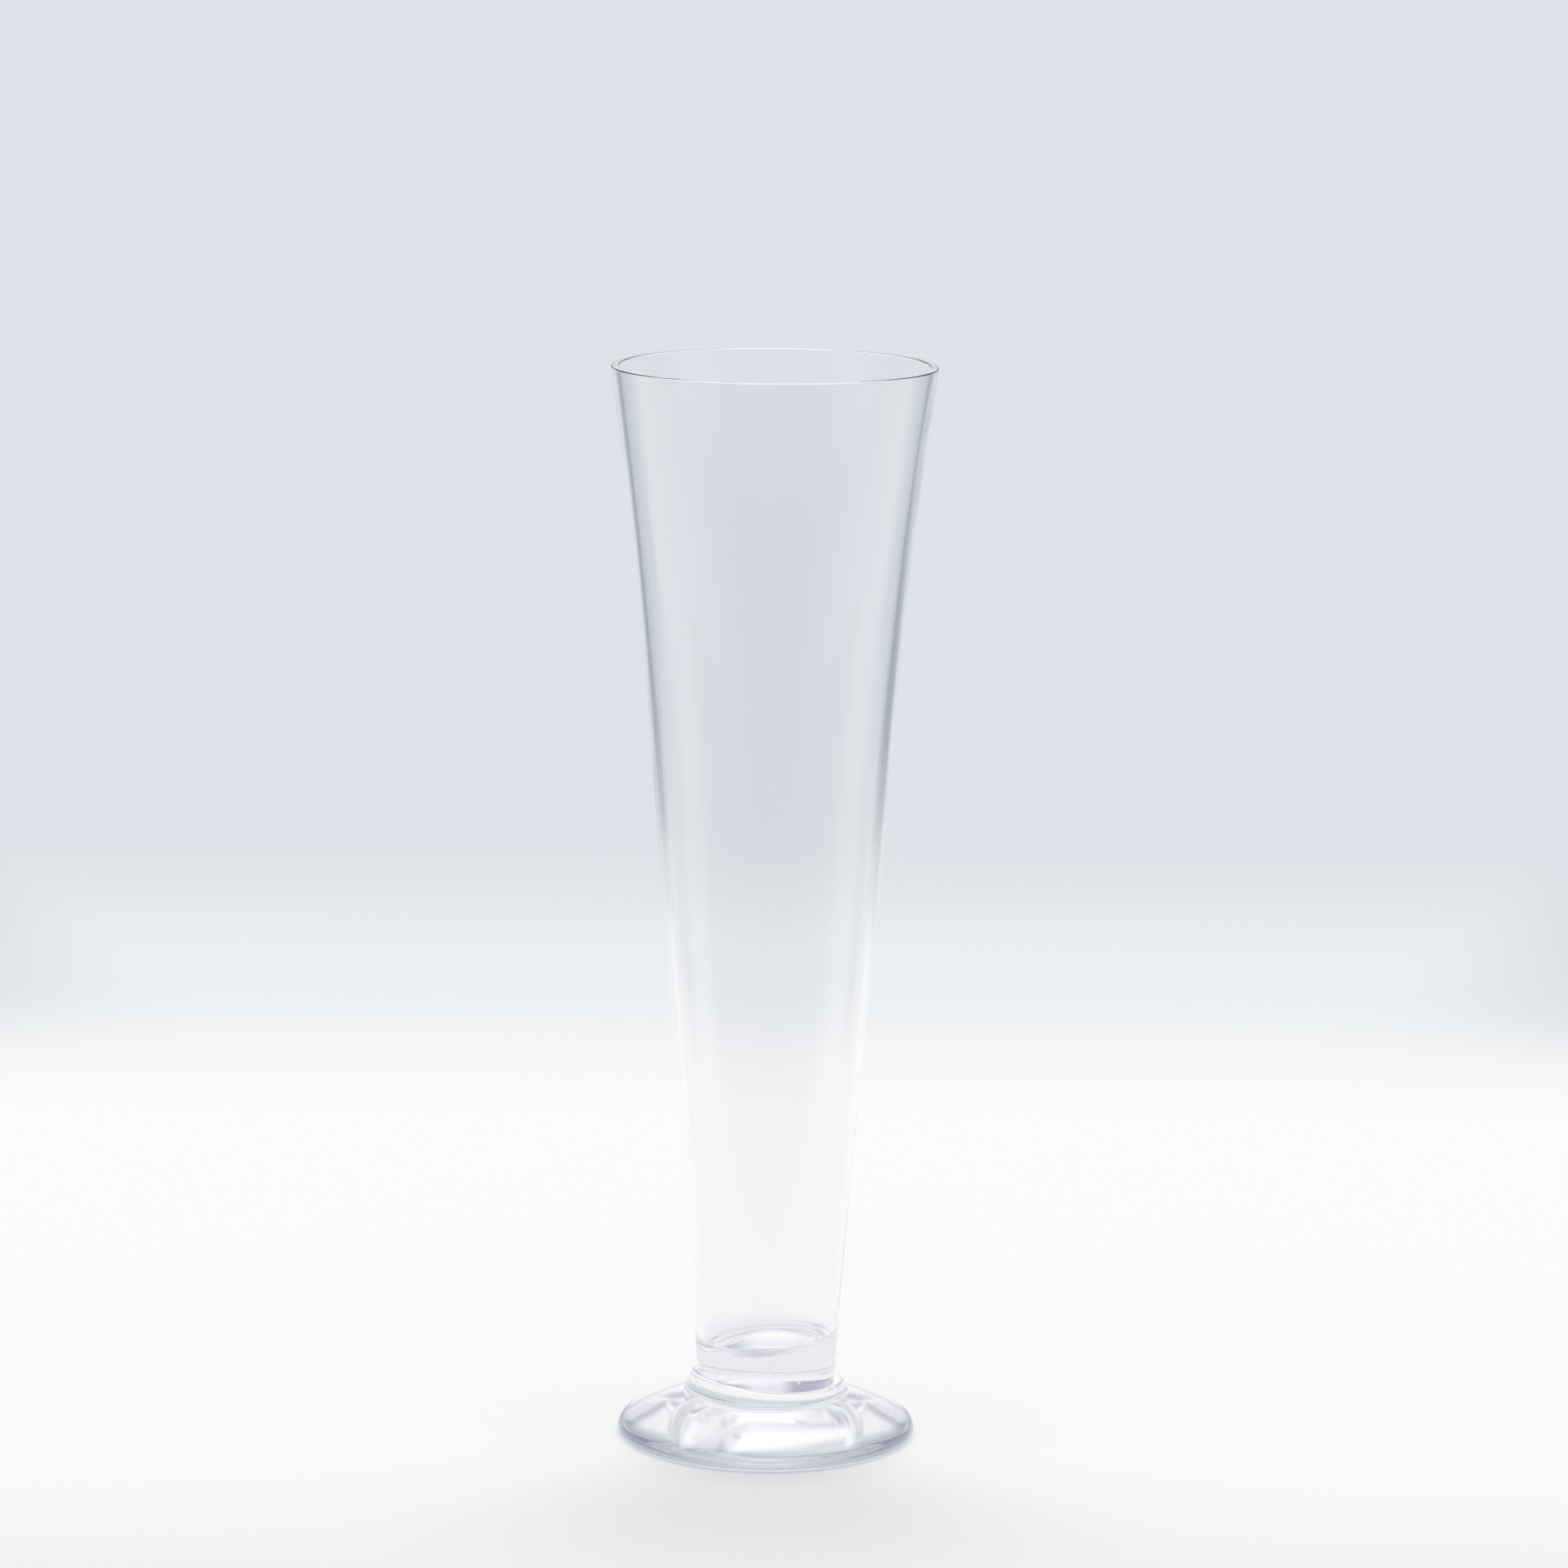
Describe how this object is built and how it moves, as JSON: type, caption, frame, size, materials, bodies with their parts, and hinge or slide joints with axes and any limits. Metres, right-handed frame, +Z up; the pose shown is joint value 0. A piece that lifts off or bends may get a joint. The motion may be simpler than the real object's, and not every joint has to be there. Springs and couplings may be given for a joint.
{
  "type": "flower vase",
  "caption": "Tall clear glass flower vase: a flared conical bowl with a thick tilted floor, joined by a rounded collar to a heavy round foot.",
  "frame": {"origin": "centre of the foot's resting ring, on the surface that the vase stands on", "axes": "+Z up along the vase's axis to the lip; -Y is the side that faces the viewer; +X to the viewer's right"},
  "size_m": [0.1488, 0.1488, 0.5],
  "materials": {
    "bowl_glass": "clear polished soda-lime glass, blown wall with a cut lip",
    "collar_glass": "clear pressed soda-lime glass, fire polished",
    "foot_glass": "clear pressed soda-lime glass, fire polished, ground resting ring"
  },
  "bodies": {
    "root": {"bowl": "bowl_glass", "collar": "collar_glass", "foot": "foot_glass"}
  },
  "joints": []
}
